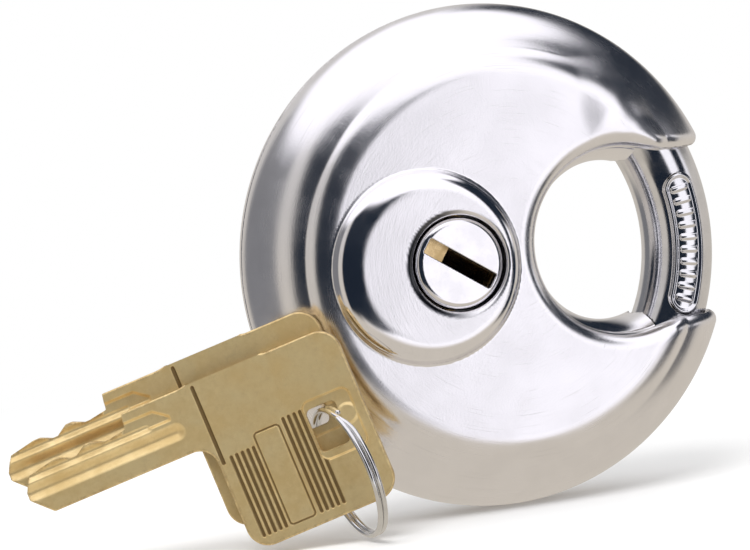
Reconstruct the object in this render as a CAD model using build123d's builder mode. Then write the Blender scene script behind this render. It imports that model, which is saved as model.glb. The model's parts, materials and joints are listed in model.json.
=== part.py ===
"""Disc padlock: a round two-shell body with a hidden curved shackle, a pin cylinder and its drive.

The disc stands on its rim. Its axis is Y, its keyway faces -Y and its opening faces +X. The origin is the
centre of the flat rear face. Depth is counted from the rear face towards the keyway, so y = -depth.
Angles are seen from the keyway side: 0 is +X and 90 is +Z.
"""

import os
from math import cos, radians, sin

from build123d import *

# Round body
BODY_R = 35.0
THICKNESS = 22.0
MID = THICKNESS / 2
RIM_R = 10.0
RIM_CENTRE_R = BODY_R - RIM_R
SHOULDER_R = 5.3
PLATEAU_R = 24.6
WALL = 1.3
FIT = 0.15

# Opening for the staple, with its rolled lip and the convex liner between the shells
OPENING_X = 17.1
LIP_R = 15.4
LIP_ROLL = 2.5
SEAM_R = LIP_R - LIP_ROLL
SEAM_DEPTH = 18.8
CLEAR_R = 10.1
LINER_WALL = 1.2
LINER_SEAM_GAP = 0.1
SLOT_HALF = 11.6
HORN_WALL_X = 22.3

# Raised boss round the keyway: its flat top lies nearer the keyway than its base
BOSS_X = -12.0
BOSS_R = 13.1
BOSS_HEIGHT = 2.0
BOSS_LEVEL = THICKNESS + BOSS_HEIGHT
BOSS_TOP_X = -11.0
BOSS_TOP_R = 10.1
KEYWAY_X = -7.7
KEYWAY_R = 6.75
COLLAR_X = KEYWAY_X - 0.45
COLLAR_R = KEYWAY_R + 0.5
COLLAR_DROP = 0.9

# Shackle
SHACKLE_R = 5.0
SHACKLE_PATH_R = 28.4
SHACKLE_TIP = 40.0
SHACKLE_TAIL = -165.0
RACE_GAP = 0.25
RACE_R = SHACKLE_R + RACE_GAP
SHACKLE_SWING = 66.0
RACE_START = SHACKLE_TIP + 5.0
RACE_END = SHACKLE_TAIL - SHACKLE_SWING - 3.0
PANEL_TOP = 12.2
PANEL_BOTTOM = -19.5
PANEL_WIDTH = 4.2
PANEL_RAISE = 0.35
PANEL_BORDER = 0.45
# Angle taken by a rounded end of the panel, with clearance
PANEL_END_ANGLE = 6.0

# Cylinder, plug and pins
PLUG_R = 6.35
PLUG_BACK = 6.8
PLUG_FRONT = 22.0
CAP_FRONT = 23.5
CAP_EDGE = 0.85
BORE_R = PLUG_R + 0.05
HOUSING_R = 8.6
HOUSING_BACK = 7.5
HOUSING_FRONT = 19.4
PIN_ANGLE = 145.0
TOWER_REACH = 15.2
TOWER_WIDTH = 5.0
SLOT_LENGTH = 10.5
SLOT_WIDTH = 2.2
BLADE_CHANNEL = 7.3
PIN_R = 0.9
CHAMBER_R = 0.97
PIN_PITCH = 2.4
PIN_COUNT = 4
FIRST_PIN_DEPTH = 17.4
PIN_TIPS = (1.1, 0.0, 0.8, 0.4)
DRIVER_LENGTH = 3.4
SPRING_START = 10.6
CHAMBER_END = 14.1
SPRING_WIRE_R = 0.14
DRILL_PLATE_BACK = 19.5
DRILL_PLATE_FRONT = 20.5

# Drive between plug and shackle
CRANK_RADIUS = 8.0
CRANK_ANGLE = 244.6
CRANK_BACK = 5.2
CRANK_HUB_R = 5.4
CRANK_EYE_R = 2.6
CRANK_PIN_R = 1.5
ARM_ANGLE = -147.0
ARM_BACK = 3.2
ARM_FRONT = 5.0
ARM_PAD_FRONT = 7.2
ARM_SLOT_INNER = 13.1
ARM_SLOT_OUTER = 15.9
ARM_SLOT_HALF = CRANK_PIN_R + 0.12
ARM_HALF_WIDTH = 3.4
RIVET_R = 1.1
RIVET_HALF_ANGLE = 5.0
CASE_SCREW_PLACES = ((98.0, 18.0), (-98.0, 18.0), (61.0, 20.2), (-61.0, 20.2))
SCREW_R = 1.2
SCREW_HEAD_R = 2.1

# Keys: flat brass, with the blade along the bow's upper edge
BOW_LENGTH = 21.0
BOW_HEIGHT = 24.0
BOW_CORNER = 3.0
KEY_THICK = 2.1
BLADE_ROOT_HEIGHT = 8.6
BLADE_SHOULDER = 9.6
BLADE_HEIGHT = 6.4
BLADE_REACH = 15.4
BLADE_TIP_CUT = 2.6
BITTING_FLAT = 0.9
HOLE_LENGTH = 4.2
HOLE_HEIGHT = 6.0
HOLE_PLACE = (-4.8, 0.3)
RIB_HEIGHT = 11.0
RIB_PITCH = 0.9
RIB_WIDTH = 0.4
KEY_ENGRAVE = 0.2
GROOVE_R = 1.6
GROOVE_DEPTH = 0.5

# Where the keys stand: their bows lean on the rim, facing the same way as the keyway but turned to the left
KEY_TURN = -17.4
KEY_LEAN = 3.0
KEY_DROP = 16.3
FRONT_KEY_PLACE = (-33.5, -23.5, -20.1)
REAR_KEY_SHIFT = (1.6, -3.4, -2.4)

# Split ring
KEY_RING_R = 8.95
KEY_RING_WIRE_R = 0.6
KEY_RING_HOLD = (-4.2, -1.7, -1.2)
KEY_RING_SLANT = 22.0
KEY_RING_FORWARD = 15.0

# Worked-out sizes and places
GAP = 0.1
CRANK_GAP = 0.2
HORN_RECESS = 0.6
LINER_REACH = SHACKLE_PATH_R - SHACKLE_R - 0.8
ARM_PAD_R = 4.2
ARM_PAD_PLACE_R = 26.4
ARM_REACH = 28.2
ARM_PAD_REACH = 30.2
ARM_POCKET_MARGIN = 17.0
ARM_POCKET_INNER = 8.0
RIVET_FRONT = 11.0
RIVET_HEAD_R = 1.8
RIVET_HEAD_DEPTH = 0.8
SCREW_HEAD_BACK = 1.5
SCREW_HEAD_FRONT = 3.0
SCREW_FRONT = 17.0
SCREW_SOCKET_R = 1.0
CRANK_SCREW_R = 0.7
CRANK_SCREW_HEAD_R = 1.3
CRANK_SCREW_HEAD_DEPTH = 0.8
CRANK_SCREW_FRONT = 10.0
CRANK_SCREW_OFFSET = 3.6
CLIP_BACK = 6.9
CLIP_GROOVE = 0.55
CLIP_THICK = 0.45
CLIP_GROOVE_R = 5.6
CLIP_R = 7.4
KEY_PIN_TOP = PLUG_R - 0.06
DRIVER_START = BORE_R + 0.05
SPRING_R = 0.7
SPRING_TURNS = 5

OPENING_AXIS = Axis((OPENING_X, 0, 0), (0, 1, 0))


def face_plane(depth):
    """A plane parallel to the body's faces: local x is +X, local y is +Z, normal to the keyway side."""
    return Plane.XZ.offset(depth)


def radial_plane(angle=0.0):
    """A plane through the body's axis: local x is the radius at this angle, local y is the depth."""
    a = radians(angle)
    return Plane(origin=(0, 0, 0), x_dir=(cos(a), 0, sin(a)), z_dir=(sin(a), 0, -cos(a)))


def polar(radius, angle, centre_x=0.0):
    """A point of a face plane, at a radius and angle round centre_x."""
    return (centre_x + radius * cos(radians(angle)), radius * sin(radians(angle)))


ARM_PAD_POINT = polar(ARM_PAD_PLACE_R, ARM_ANGLE)
RIVET_POINTS = [polar(ARM_PAD_PLACE_R, ARM_ANGLE + side * RIVET_HALF_ANGLE) for side in (-1, 1)]
SCREW_POINTS = [polar(radius, angle) for angle, radius in CASE_SCREW_PLACES]
CRANK_POINT = polar(CRANK_RADIUS, CRANK_ANGLE, KEYWAY_X)
CRANK_SCREW_POINTS = [
    polar(side * CRANK_SCREW_OFFSET, PIN_ANGLE + 90, KEYWAY_X) for side in (-1, 1)
]
CHANNEL_POINT = polar(BLADE_CHANNEL / 2 - SLOT_LENGTH / 2, PIN_ANGLE, KEYWAY_X)


def pin_plane(depth):
    """A plane across a pin chamber through the plug's axis, facing along the chamber."""
    a = radians(PIN_ANGLE)
    return Plane(origin=(KEYWAY_X, -depth, 0), x_dir=(0, -1, 0), z_dir=(cos(a), 0, sin(a)))


def pin_depths():
    """Depth of each pin chamber, from the keyway side."""
    return [FIRST_PIN_DEPTH - PIN_PITCH * i for i in range(PIN_COUNT)]


def disc_body(inset):
    """The whole round body without openings, drawn inside its surface by inset."""
    with BuildPart() as body:
        with BuildSketch(radial_plane()):
            with Locations((RIM_CENTRE_R, MID)):
                Circle(RIM_R - inset)
            with Locations((PLATEAU_R, THICKNESS - SHOULDER_R), (PLATEAU_R, SHOULDER_R)):
                Circle(SHOULDER_R - inset)
            with Locations((PLATEAU_R / 2, MID)):
                Rectangle(PLATEAU_R, THICKNESS - 2 * inset)
        revolve(axis=Axis.Y)
    return body.part


def half_space(front):
    """A block that holds the keyway side of the seam plane, or the rear side."""
    with BuildPart() as half:
        with BuildSketch(face_plane(MID)):
            Rectangle(3 * BODY_R, 3 * BODY_R)
        extrude(amount=THICKNESS if front else -THICKNESS)
    return half.part


def opening_tool(grow, slot_half):
    """The space inside the opening's lip, wider by grow, with the slot that runs out to the rim."""
    roll = LIP_ROLL - grow
    seam = OPENING_X + SEAM_R + grow
    lip = seam + roll
    level = THICKNESS - grow
    outside = THICKNESS
    with BuildPart() as tool:
        with BuildSketch(radial_plane()):
            with BuildLine():
                Line((OPENING_X, -outside), (OPENING_X, THICKNESS + outside))
                Line((OPENING_X, THICKNESS + outside), (lip, THICKNESS + outside))
                Line((lip, THICKNESS + outside), (lip, level))
                RadiusArc((lip, level), (seam, level - roll), -roll)
                Line((seam, level - roll), (seam, THICKNESS - level + roll))
                RadiusArc((seam, THICKNESS - level + roll), (lip, THICKNESS - level), -roll)
                Line((lip, THICKNESS - level), (lip, -outside))
                Line((lip, -outside), (OPENING_X, -outside))
            make_face()
        revolve(axis=OPENING_AXIS)
        with BuildSketch(face_plane(-1)):
            with Locations((OPENING_X, 0)):
                Rectangle(2 * BODY_R, 2 * slot_half, align=(Align.MIN, Align.CENTER))
        extrude(amount=THICKNESS + 2)
    return tool.part


def boss(inset):
    """The raised boss above the front face, drawn inside its surface by inset."""
    with BuildPart() as raised:
        for step in range(9):
            turn = radians(90 * step / 8)
            blend = 1 - cos(turn)
            with BuildSketch(face_plane(THICKNESS - inset + BOSS_HEIGHT * sin(turn))):
                with Locations((BOSS_X + (BOSS_TOP_X - BOSS_X) * blend, 0)):
                    Circle(BOSS_R - inset + (BOSS_TOP_R - BOSS_R) * blend)
        loft(ruled=True)
        with BuildSketch(face_plane(THICKNESS - inset)):
            with Locations((BOSS_X, 0)):
                Circle(BOSS_R - inset)
        extrude(amount=-WALL / 2)
    return raised.part


def keyway_tool():
    """The round hole in the boss, with its edge rolled inwards."""
    with BuildPart() as tool:
        for step in (3, 2, 1, 0):
            turn = radians(30 * step)
            blend = sin(turn)
            with BuildSketch(face_plane(BOSS_LEVEL - COLLAR_DROP * (1 - cos(turn)))):
                with Locations((COLLAR_X + (KEYWAY_X - COLLAR_X) * blend, 0)):
                    Circle(COLLAR_R + (KEYWAY_R - COLLAR_R) * blend)
        loft(ruled=True)
        with BuildSketch(face_plane(DRILL_PLATE_FRONT)):
            with Locations((KEYWAY_X, 0)):
                Circle(KEYWAY_R)
        extrude(amount=BOSS_LEVEL - COLLAR_DROP - DRILL_PLATE_FRONT)
        with BuildSketch(face_plane(BOSS_LEVEL)):
            with Locations((COLLAR_X, 0)):
                Circle(COLLAR_R)
        extrude(amount=1)
    return tool.part


def ring_bar(bar_r, start, end):
    """A round bar bent round the body's axis, from one angle clockwise to another."""
    with BuildPart() as bar:
        with BuildSketch(radial_plane(start)):
            with Locations((SHACKLE_PATH_R, MID)):
                Circle(bar_r)
        revolve(axis=Axis.Y, revolution_arc=start - end)
    return bar.part


def panel_area(width, top, bottom):
    """A long rounded area along the shackle's front, as a block through its front half."""
    with BuildPart() as area:
        with BuildSketch(face_plane(MID + 1)):
            SlotArc(CenterArc((0, 0), SHACKLE_PATH_R, bottom, top - bottom, mode=Mode.PRIVATE), width)
        extrude(amount=MID)
    return area.part


def panel_way():
    """The channel in front of the race that the shackle's raised panel runs through."""
    top = PANEL_TOP + PANEL_END_ANGLE
    bottom = PANEL_BOTTOM - SHACKLE_SWING - PANEL_END_ANGLE
    with BuildPart() as way:
        with BuildSketch(radial_plane(top)):
            with Locations((SHACKLE_PATH_R, MID)):
                Circle(SHACKLE_R + PANEL_RAISE + RACE_GAP)
            with Locations((SHACKLE_PATH_R, MID + 1)):
                Rectangle(
                    PANEL_WIDTH + 2 * RACE_GAP,
                    2 * SHACKLE_R,
                    align=(Align.CENTER, Align.MIN),
                    mode=Mode.INTERSECT,
                )
        revolve(axis=Axis.Y, revolution_arc=top - bottom)
    return way.part


def shell_half(front):
    """One pressed shell: a skin of the body with its half of the opening's lip."""
    with BuildPart() as lining:
        add(shell_inside)
        add(half_space(front), mode=Mode.INTERSECT)
        add(opening_wall + horn_wall, mode=Mode.INTERSECT)
    with BuildPart() as shell:
        add(body_outside)
        add(half_space(front), mode=Mode.INTERSECT)
        if front:
            add(boss(0))
            add(boss(WALL), mode=Mode.SUBTRACT)
            add(keyway_tool(), mode=Mode.SUBTRACT)
        add(shell_inside, mode=Mode.SUBTRACT)
        add(lining.part)
        add(opening, mode=Mode.SUBTRACT)
        add(liner_space, mode=Mode.SUBTRACT)
        add(shackle_way, mode=Mode.SUBTRACT)
        if front:
            add(panel_channel, mode=Mode.SUBTRACT)
    return shell


def case_half(front):
    """One die-cast half of the inner case: the shackle's race, the cylinder's bore and the drive's pocket."""
    with BuildPart() as case:
        add(disc_body(WALL + FIT))
        add(half_space(front), mode=Mode.INTERSECT)
        add(opening_tool(WALL + FIT, SLOT_HALF + HORN_RECESS), mode=Mode.SUBTRACT)
        add(horn_gap, mode=Mode.SUBTRACT)
        if front:
            add(panel_channel, mode=Mode.SUBTRACT)
        add(ring_bar(RACE_R, RACE_START, RACE_END), mode=Mode.SUBTRACT)
        # Round bore and pin tower of the cylinder
        with BuildSketch(face_plane(HOUSING_BACK - GAP)):
            with Locations((KEYWAY_X, 0)):
                Circle(HOUSING_R + GAP)
        extrude(amount=THICKNESS, mode=Mode.SUBTRACT)
        with BuildSketch(face_plane(HOUSING_BACK - GAP)):
            with Locations(polar(TOWER_REACH / 2, PIN_ANGLE, KEYWAY_X)):
                Rectangle(TOWER_REACH + 2 * GAP, TOWER_WIDTH + 2 * GAP, rotation=PIN_ANGLE)
        extrude(amount=HOUSING_FRONT - HOUSING_BACK + 2 * GAP, mode=Mode.SUBTRACT)
        # Pockets for the plug's clip and for the crank
        with BuildSketch(face_plane(CLIP_BACK - CRANK_GAP)):
            with Locations((KEYWAY_X, 0)):
                Circle(CLIP_R + CRANK_GAP)
        extrude(amount=HOUSING_BACK - CLIP_BACK + CRANK_GAP, mode=Mode.SUBTRACT)
        with BuildSketch(face_plane(CRANK_BACK - CRANK_GAP)):
            with Locations((KEYWAY_X, 0)):
                Circle(CRANK_RADIUS + CRANK_EYE_R + CRANK_GAP)
            with Locations((0, 0)):
                Rectangle(BODY_R, BODY_R, align=(Align.MAX, Align.CENTER), mode=Mode.INTERSECT)
        extrude(amount=HOUSING_BACK - CRANK_BACK + CRANK_GAP, mode=Mode.SUBTRACT)
        # Sector in which the drive arm and its thicker pad swing
        with BuildSketch(radial_plane(ARM_ANGLE + ARM_POCKET_MARGIN)):
            with Locations((ARM_POCKET_INNER, ARM_BACK - CRANK_GAP)):
                Rectangle(
                    ARM_REACH + 2 * CRANK_GAP - ARM_POCKET_INNER,
                    ARM_FRONT - ARM_BACK + 2 * CRANK_GAP,
                    align=(Align.MIN, Align.MIN),
                )
            with Locations((ARM_PAD_PLACE_R - ARM_PAD_R - CRANK_GAP, ARM_FRONT)):
                Rectangle(
                    ARM_PAD_REACH - ARM_PAD_PLACE_R + ARM_PAD_R + 2 * CRANK_GAP,
                    ARM_PAD_FRONT - ARM_FRONT + CRANK_GAP,
                    align=(Align.MIN, Align.MIN),
                )
        revolve(
            axis=Axis.Y,
            revolution_arc=SHACKLE_SWING + 2 * ARM_POCKET_MARGIN,
            mode=Mode.SUBTRACT,
        )
        # Screw holes with counterbores in the rear half
        with BuildSketch(face_plane(0)):
            with Locations(*SCREW_POINTS):
                Circle(SCREW_R + 0.02)
        extrude(amount=SCREW_FRONT + GAP, mode=Mode.SUBTRACT)
        with BuildSketch(face_plane(0)):
            with Locations(*SCREW_POINTS):
                Circle(SCREW_HEAD_R + GAP)
        extrude(amount=SCREW_HEAD_FRONT, mode=Mode.SUBTRACT)
    return case


def key_plane(place):
    """A key's own plane: local x runs from the bow to the tip, local y to the lower edge, z off its face."""
    turn, lean, fall = radians(KEY_TURN), radians(KEY_LEAN), radians(KEY_DROP)
    facing = Vector(sin(turn) * cos(lean), -cos(turn) * cos(lean), sin(lean))
    right = Vector(cos(turn), sin(turn), 0)
    up = facing.cross(right)
    return Plane(origin=place, x_dir=right * -cos(fall) - up * sin(fall), z_dir=facing)


def bitting():
    """Corners of the blade's cut edge from the shoulder to the tip: a short flat under each pin."""
    low = BLADE_ROOT_HEIGHT - BOW_HEIGHT / 2
    shoulder = BOW_LENGTH / 2 + BLADE_SHOULDER
    points = [(shoulder, low - BLADE_HEIGHT)]
    for depth, tip in zip(pin_depths(), PIN_TIPS):
        x = shoulder + PLUG_FRONT - depth
        y = low - tip - SLOT_LENGTH / 2 + 0.1
        points.append((x - BITTING_FLAT / 2, y))
        points.append((x + BITTING_FLAT / 2, y))
    return points


def make_key(plane):
    """A flat key: square bow with a ring hole, ribs and a plain field, and a grooved blade."""
    top = -BOW_HEIGHT / 2
    low = top + BLADE_ROOT_HEIGHT
    root = BOW_LENGTH / 2
    tip = root + BLADE_SHOULDER + BLADE_REACH
    with BuildPart() as key:
        with BuildSketch(plane.offset(-KEY_THICK / 2)) as outline:
            with BuildLine():
                Polyline(
                    (-root, top),
                    (root + BLADE_SHOULDER, top),
                    *bitting(),
                    (tip - 1.2, low - BLADE_HEIGHT + 1),
                    (tip, low - BLADE_TIP_CUT),
                    (tip - BLADE_TIP_CUT, low),
                    (root, low),
                    (root, -top),
                    (-root, -top),
                    close=True,
                )
            make_face()
            corners = outline.vertices()
            fillet(corners.filter_by(lambda v: abs(v.X + root) < 0.01), BOW_CORNER)
            corners = outline.vertices()
            fillet(corners.filter_by(lambda v: abs(v.X - root) < 0.01), BOW_CORNER)
            with Locations(HOLE_PLACE):
                RectangleRounded(HOLE_LENGTH, HOLE_HEIGHT, 0.8, mode=Mode.SUBTRACT)
        extrude(amount=KEY_THICK)
        for side in (-1, 1):
            # Recess round the ring hole, ribs on the bow and the line at the blade's root
            with BuildSketch(plane.offset(side * KEY_THICK / 2)):
                with Locations((HOLE_PLACE[0] - 0.8, HOLE_PLACE[1])):
                    RectangleRounded(HOLE_LENGTH + 2.4, HOLE_HEIGHT + 2.6, 1.2)
                for first in (-3.6, 5.4):
                    for rib in range(5):
                        with Locations((first + RIB_PITCH * rib, BOW_HEIGHT / 2 - 1.6)):
                            Rectangle(RIB_WIDTH, RIB_HEIGHT, align=(Align.CENTER, Align.MAX))
                with Locations((root - 0.7, top + 1)):
                    Rectangle(RIB_WIDTH, BLADE_ROOT_HEIGHT, align=(Align.CENTER, Align.MIN))
            extrude(amount=-side * KEY_ENGRAVE, mode=Mode.SUBTRACT)
            # Long groove of the blade
            middle = top + BLADE_ROOT_HEIGHT * 0.6
            groove = plane.offset(side * (KEY_THICK / 2 + GROOVE_R - GROOVE_DEPTH))
            groove_end = groove.from_local_coords((tip + 1, middle, 0))
            with BuildSketch(Plane(groove_end, plane.y_dir, -plane.x_dir)):
                Circle(GROOVE_R)
            extrude(amount=tip - root, mode=Mode.SUBTRACT)
            with Locations(groove.from_local_coords((root + 1, middle, 0))):
                Sphere(GROOVE_R, mode=Mode.SUBTRACT)
    return key


def save(piece, name):
    """Label a finished piece and write its file."""
    piece.part.label = name
    export_step(piece.part, "parts/" + name + ".step")


os.makedirs("parts", exist_ok=True)

# Shapes that several pieces share
body_outside = disc_body(0)
shell_inside = disc_body(WALL)
opening = opening_tool(0, SLOT_HALF)
opening_wall = opening_tool(WALL, SLOT_HALF)
horn_wall = Pos((OPENING_X + HORN_WALL_X) / 2, -MID, 0) * Box(
    HORN_WALL_X - OPENING_X, THICKNESS, 2 * (SLOT_HALF + WALL)
)
horn_gap = Pos((OPENING_X + HORN_WALL_X + FIT) / 2, -MID, 0) * Box(
    HORN_WALL_X + FIT - OPENING_X, THICKNESS, 2 * (SLOT_HALF + WALL + FIT)
)
shackle_way = ring_bar(RACE_R + 0.05, 60, -60)
panel_channel = panel_way()

# Room for the liner between the two lips
with BuildPart() as liner_room:
    with BuildSketch(face_plane(THICKNESS - SEAM_DEPTH)):
        with Locations((OPENING_X, 0)):
            Circle(SEAM_R + WALL + 0.1)
        Circle(LINER_REACH + 0.1, mode=Mode.INTERSECT)
    extrude(amount=2 * SEAM_DEPTH - THICKNESS)
liner_space = liner_room.part

# Shells
front_shell = shell_half(True)
rear_shell = shell_half(False)
save(front_shell, "front_shell")
save(rear_shell, "rear_shell")

# Liner: a convex band bent round the opening, its ends stopping short of the shackle
with BuildPart() as opening_liner:
    with BuildSketch(radial_plane()):
        with BuildLine():
            front_edge = SEAM_DEPTH - LINER_SEAM_GAP
            rear_edge = THICKNESS - front_edge
            edge_x = OPENING_X + SEAM_R
            crest_x = OPENING_X + CLEAR_R
            ThreePointArc((edge_x, front_edge), (crest_x, MID), (edge_x, rear_edge))
            Line((edge_x, rear_edge), (edge_x + LINER_WALL, rear_edge))
            ThreePointArc(
                (edge_x + LINER_WALL, rear_edge),
                (crest_x + LINER_WALL, MID),
                (edge_x + LINER_WALL, front_edge),
            )
            Line((edge_x + LINER_WALL, front_edge), (edge_x, front_edge))
        make_face()
    revolve(axis=OPENING_AXIS)
    with BuildSketch(face_plane(0)):
        Circle(LINER_REACH)
    extrude(amount=THICKNESS, mode=Mode.INTERSECT)
save(opening_liner, "opening_liner")

# Inner case and the screws that close it from the rear
case_front = case_half(True)
case_rear = case_half(False)
save(case_front, "case_front")
save(case_rear, "case_rear")

with BuildPart() as case_screws:
    with BuildSketch(face_plane(SCREW_HEAD_BACK)):
        with Locations(*SCREW_POINTS):
            Circle(SCREW_HEAD_R)
            RegularPolygon(SCREW_SOCKET_R, 6, mode=Mode.SUBTRACT)
    extrude(amount=SCREW_HEAD_FRONT - SCREW_HEAD_BACK)
    with BuildSketch(face_plane(SCREW_HEAD_FRONT)):
        with Locations(*SCREW_POINTS):
            Circle(SCREW_R)
    extrude(amount=SCREW_FRONT - SCREW_HEAD_FRONT)
save(case_screws, "case_screws")

# Shackle: a bent round bar with a raised border on its front, a flat and rivet holes at its tail
panel_outer = panel_area(PANEL_WIDTH, PANEL_TOP, PANEL_BOTTOM)
panel_inner = panel_area(PANEL_WIDTH - 2 * PANEL_BORDER, PANEL_TOP, PANEL_BOTTOM)
raised_bar = ring_bar(SHACKLE_R + PANEL_RAISE, PANEL_TOP + 6, PANEL_BOTTOM - 6)
with BuildPart() as shackle:
    add(ring_bar(SHACKLE_R, SHACKLE_TIP, SHACKLE_TAIL))
    chamfer(shackle.faces().filter_by(GeomType.PLANE).edges(), length=1.0)
    add(raised_bar & panel_outer - panel_inner)
    with BuildSketch(face_plane(0)):
        with Locations(ARM_PAD_POINT):
            Circle(ARM_PAD_R + 0.1)
    extrude(amount=ARM_PAD_FRONT, mode=Mode.SUBTRACT)
    with BuildSketch(face_plane(0)):
        with Locations(*RIVET_POINTS):
            Circle(RIVET_R + 0.01)
    extrude(amount=RIVET_FRONT + GAP, mode=Mode.SUBTRACT)
save(shackle, "shackle")

# Drive arm: its pad is riveted to the shackle's tail and its slot holds the crank pin
with BuildPart() as drive_arm:
    with BuildSketch(face_plane(ARM_BACK)):
        with Locations(polar(ARM_SLOT_INNER, ARM_ANGLE)):
            Circle(ARM_HALF_WIDTH)
        with Locations(ARM_PAD_POINT):
            Circle(ARM_PAD_R)
        make_hull()
        Circle(ARM_REACH, mode=Mode.INTERSECT)
    extrude(amount=ARM_FRONT - ARM_BACK)
    with BuildSketch(face_plane(ARM_FRONT)):
        with Locations(ARM_PAD_POINT):
            Circle(ARM_PAD_R)
        Circle(ARM_PAD_REACH, mode=Mode.INTERSECT)
    extrude(amount=ARM_PAD_FRONT - ARM_FRONT)
    with BuildSketch(face_plane(ARM_BACK)):
        with Locations(polar((ARM_SLOT_INNER + ARM_SLOT_OUTER) / 2, ARM_ANGLE)):
            SlotCenterToCenter(
                ARM_SLOT_OUTER - ARM_SLOT_INNER, 2 * ARM_SLOT_HALF, rotation=ARM_ANGLE
            )
        with Locations(*RIVET_POINTS):
            Circle(RIVET_R + 0.01)
    extrude(amount=ARM_PAD_FRONT - ARM_BACK, mode=Mode.SUBTRACT)
    with BuildSketch(face_plane(ARM_BACK)):
        with Locations(*RIVET_POINTS):
            Circle(RIVET_HEAD_R + 0.01)
    extrude(amount=RIVET_HEAD_DEPTH, mode=Mode.SUBTRACT)
save(drive_arm, "drive_arm")

with BuildPart() as arm_rivets:
    with BuildSketch(face_plane(ARM_BACK)):
        with Locations(*RIVET_POINTS):
            Circle(RIVET_HEAD_R)
    extrude(amount=RIVET_HEAD_DEPTH)
    with BuildSketch(face_plane(ARM_BACK + RIVET_HEAD_DEPTH)):
        with Locations(*RIVET_POINTS):
            Circle(RIVET_R)
    extrude(amount=RIVET_FRONT - ARM_BACK - RIVET_HEAD_DEPTH)
save(arm_rivets, "arm_rivets")

# Crank on the rear end of the plug, its pin and its two screws
with BuildPart() as drive_crank:
    with BuildSketch(face_plane(CRANK_BACK)):
        with Locations((KEYWAY_X, 0)):
            Circle(CRANK_HUB_R)
        with Locations(CRANK_POINT):
            Circle(CRANK_EYE_R)
        make_hull()
        with Locations(CRANK_POINT):
            Circle(CRANK_PIN_R + 0.01, mode=Mode.SUBTRACT)
        with Locations(*CRANK_SCREW_POINTS):
            Circle(CRANK_SCREW_R + 0.01, mode=Mode.SUBTRACT)
        with Locations(CHANNEL_POINT):
            Rectangle(BLADE_CHANNEL, SLOT_WIDTH, rotation=PIN_ANGLE, mode=Mode.SUBTRACT)
    extrude(amount=PLUG_BACK - CRANK_BACK)
    with BuildSketch(face_plane(CRANK_BACK)):
        with Locations(*CRANK_SCREW_POINTS):
            Circle(CRANK_SCREW_HEAD_R + 0.01)
    extrude(amount=CRANK_SCREW_HEAD_DEPTH, mode=Mode.SUBTRACT)
save(drive_crank, "drive_crank")

with BuildPart() as crank_pin:
    with BuildSketch(face_plane(ARM_BACK + 0.1)):
        with Locations(CRANK_POINT):
            Circle(CRANK_PIN_R)
    extrude(amount=PLUG_BACK - ARM_BACK - 0.1)
save(crank_pin, "crank_pin")

with BuildPart() as crank_screws:
    with BuildSketch(face_plane(CRANK_BACK)):
        with Locations(*CRANK_SCREW_POINTS):
            Circle(CRANK_SCREW_HEAD_R)
            Rectangle(2 * CRANK_SCREW_HEAD_R, 0.4, mode=Mode.SUBTRACT)
    extrude(amount=CRANK_SCREW_HEAD_DEPTH)
    with BuildSketch(face_plane(CRANK_BACK + CRANK_SCREW_HEAD_DEPTH)):
        with Locations(*CRANK_SCREW_POINTS):
            Circle(CRANK_SCREW_R)
    extrude(amount=CRANK_SCREW_FRONT - CRANK_BACK - CRANK_SCREW_HEAD_DEPTH)
save(crank_screws, "crank_screws")

# Plug: turns in the cylinder body; its keyway is a channel and four chambers meet it
with BuildPart() as plug:
    with BuildSketch(face_plane(PLUG_BACK)):
        with Locations((KEYWAY_X, 0)):
            Circle(PLUG_R)
        with Locations(CHANNEL_POINT):
            Rectangle(BLADE_CHANNEL, SLOT_WIDTH, rotation=PIN_ANGLE, mode=Mode.SUBTRACT)
    extrude(amount=PLUG_FRONT - PLUG_BACK)
    with BuildSketch(face_plane(CLIP_BACK)):
        with Locations((KEYWAY_X, 0)):
            Circle(PLUG_R + 1)
            Circle(CLIP_GROOVE_R, mode=Mode.SUBTRACT)
    extrude(amount=CLIP_GROOVE, mode=Mode.SUBTRACT)
    for depth in pin_depths():
        with BuildSketch(pin_plane(depth).offset(BLADE_CHANNEL - SLOT_LENGTH / 2 - 1)):
            Circle(CHAMBER_R)
        extrude(amount=PLUG_R, mode=Mode.SUBTRACT)
    with BuildSketch(face_plane(PLUG_BACK)):
        with Locations(*CRANK_SCREW_POINTS):
            Circle(CRANK_SCREW_R + 0.01)
    extrude(amount=CRANK_SCREW_FRONT - PLUG_BACK + GAP, mode=Mode.SUBTRACT)
save(plug, "plug")

# Hard cap over the plug's face, with a domed edge and the key slot
with BuildPart() as plug_cap:
    with BuildSketch(face_plane(PLUG_FRONT)):
        with Locations((KEYWAY_X, 0)):
            Circle(PLUG_R)
    extrude(amount=CAP_FRONT - PLUG_FRONT)
    fillet(plug_cap.edges().group_by(Axis.Y)[0], CAP_EDGE)
    with BuildSketch(face_plane(PLUG_FRONT)):
        with Locations((KEYWAY_X, 0)):
            Rectangle(SLOT_LENGTH, SLOT_WIDTH, rotation=PIN_ANGLE)
    extrude(amount=CAP_FRONT - PLUG_FRONT, mode=Mode.SUBTRACT)
save(plug_cap, "plug_cap")

with BuildPart() as plug_clip:
    with BuildSketch(face_plane(CLIP_BACK + (CLIP_GROOVE - CLIP_THICK) / 2)):
        with Locations((KEYWAY_X, 0)):
            Circle(CLIP_R)
            Circle(CLIP_GROOVE_R + 0.02, mode=Mode.SUBTRACT)
        with Locations((KEYWAY_X, 0)):
            Rectangle(CLIP_R, 3, align=(Align.MIN, Align.CENTER), mode=Mode.SUBTRACT)
    extrude(amount=CLIP_THICK)
save(plug_clip, "plug_clip")

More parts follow.
